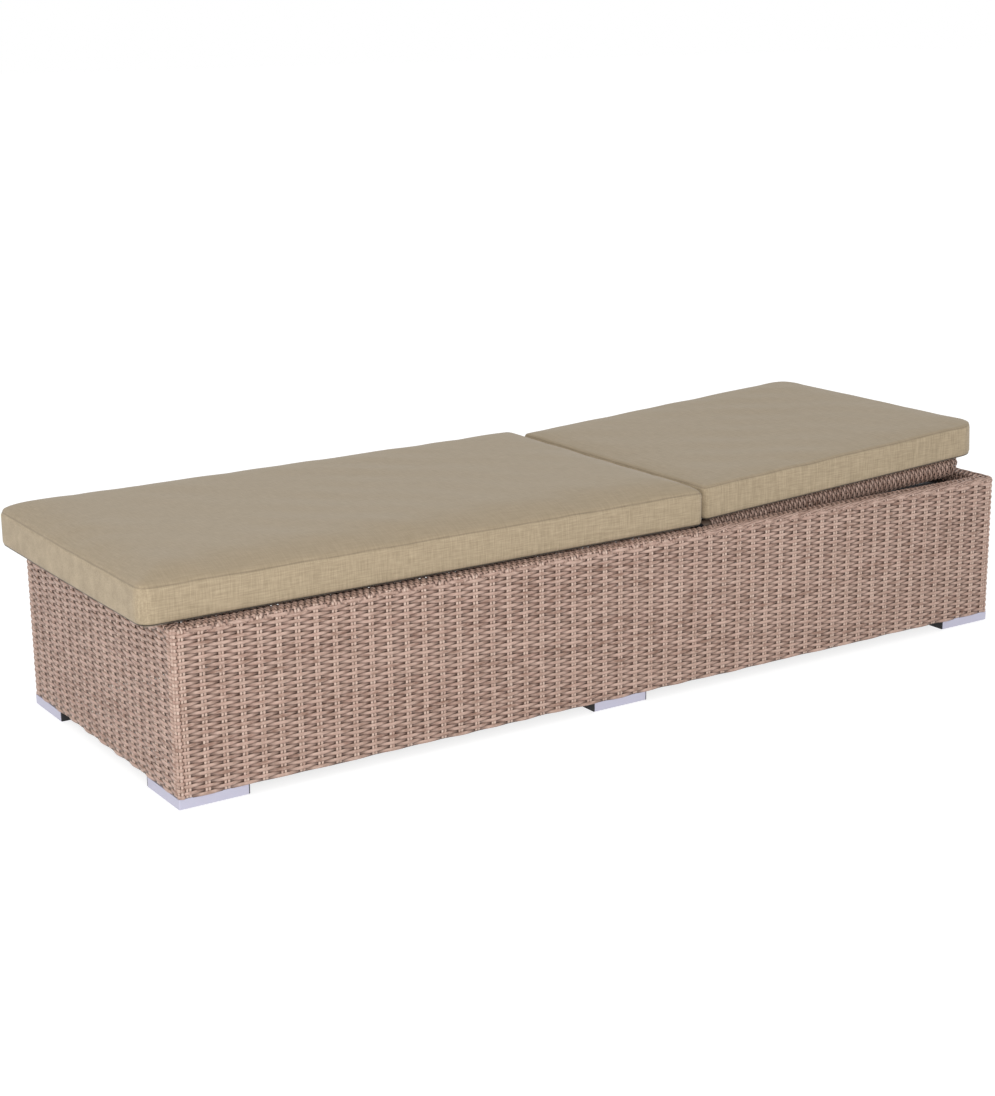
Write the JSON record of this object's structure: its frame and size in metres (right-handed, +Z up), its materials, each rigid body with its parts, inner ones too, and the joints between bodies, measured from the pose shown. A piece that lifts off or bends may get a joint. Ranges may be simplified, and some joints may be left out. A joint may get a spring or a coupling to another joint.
{
  "type": "sun lounger",
  "caption": "Low box-shaped wicker sun lounger on short metal feet, with a flat seat, a reclining back on toothed racks, and loose flat pads.",
  "frame": {"origin": "on the floor, in the middle of the overall footprint, pads included", "axes": "+X from the foot end to the head end, +Y to the right-hand side of a person who lies on it, +Z up"},
  "size_m": [2.037, 0.7, 0.4577],
  "materials": {
    "wicker": "mottled brown and beige extruded strands, satin",
    "frame_aluminium": "brown powder-coated tube, mostly hidden",
    "foot_aluminium": "satin anodised",
    "plated_steel": "zinc plated, dull",
    "black_plastic": "moulded, matte",
    "pad_cloth": "plain woven outdoor cloth, khaki"
  },
  "bodies": {
    "base": {"top_rail_left": "frame_aluminium", "top_rail_right": "frame_aluminium", "top_rail_foot": "frame_aluminium", "top_rail_head": "frame_aluminium", "bottom_rail_left": "frame_aluminium", "bottom_rail_right": "frame_aluminium", "bottom_rail_foot": "frame_aluminium", "bottom_rail_head": "frame_aluminium", "corner_post_foot_left": "frame_aluminium", "corner_post_foot_right": "frame_aluminium", "corner_post_head_left": "frame_aluminium", "corner_post_head_right": "frame_aluminium", "side_post_seat_left": "frame_aluminium", "side_post_seat_right": "frame_aluminium", "side_post_hinge_left": "frame_aluminium", "side_post_hinge_right": "frame_aluminium", "side_post_back_left": "frame_aluminium", "side_post_back_right": "frame_aluminium", "seat_bar_1": "frame_aluminium", "seat_bar_2": "frame_aluminium", "seat_bar_3": "frame_aluminium", "hinge_crossbar": "frame_aluminium", "weave_left": "wicker", "weave_right": "wicker", "weave_foot": "wicker", "weave_head": "wicker", "weave_deck": "wicker", "rack_left": "plated_steel", "rack_right": "plated_steel", "hinge_bracket_left": "plated_steel", "hinge_bracket_right": "plated_steel", "hinge_pins": "plated_steel", "corner_foot_foot_left": "foot_aluminium", "corner_foot_head_left": "foot_aluminium", "corner_foot_head_right": "foot_aluminium", "corner_foot_foot_right": "foot_aluminium", "middle_foot_left": "foot_aluminium", "middle_foot_right": "foot_aluminium", "foot_end_caps": "black_plastic", "foot_glides": "black_plastic", "foot_screws": "plated_steel", "seat_pad": "pad_cloth"},
    "backrest": {"back_tube_left": "frame_aluminium", "back_tube_right": "frame_aluminium", "back_tube_head": "frame_aluminium", "back_tube_hinge": "frame_aluminium", "back_bar_lower": "frame_aluminium", "back_bar_upper": "frame_aluminium", "back_wrap_left": "wicker", "back_wrap_right": "wicker", "back_wrap_head": "wicker", "back_mat": "wicker", "stay_clevis_left": "plated_steel", "stay_clevis_right": "plated_steel", "stay_pins": "plated_steel", "hinge_bushes": "black_plastic"},
    "stay": {"stay_arm_left": "plated_steel", "stay_arm_right": "plated_steel", "stay_foot_bar": "plated_steel"},
    "back_pad": {"back_pad": "pad_cloth"}
  },
  "joints": [
    {"name": "backrest_hinge", "type": "hinge", "parent": "base", "child": "backrest", "pos_m": [0.2105, 0, 0.326], "axis": [0, -1, 0], "range_deg": [0, 57]},
    {"name": "stay_pivot", "type": "hinge", "parent": "backrest", "child": "stay", "pos_m": [0.55, 0, 0.34379], "axis": [0, 1, 0], "range_deg": [0, 114]},
    {"name": "back_pad_slide", "type": "slide", "parent": "backrest", "child": "back_pad", "axis": [0.9986, 0, 0.0523], "range_m": [0, 0.0776]}
  ],
  "couplings": [
    {"joint": "stay_pivot", "follows": "backrest_hinge", "ratio": 2},
    {"joint": "back_pad_slide", "follows": "backrest_hinge", "m_per_rad": 0.078}
  ]
}
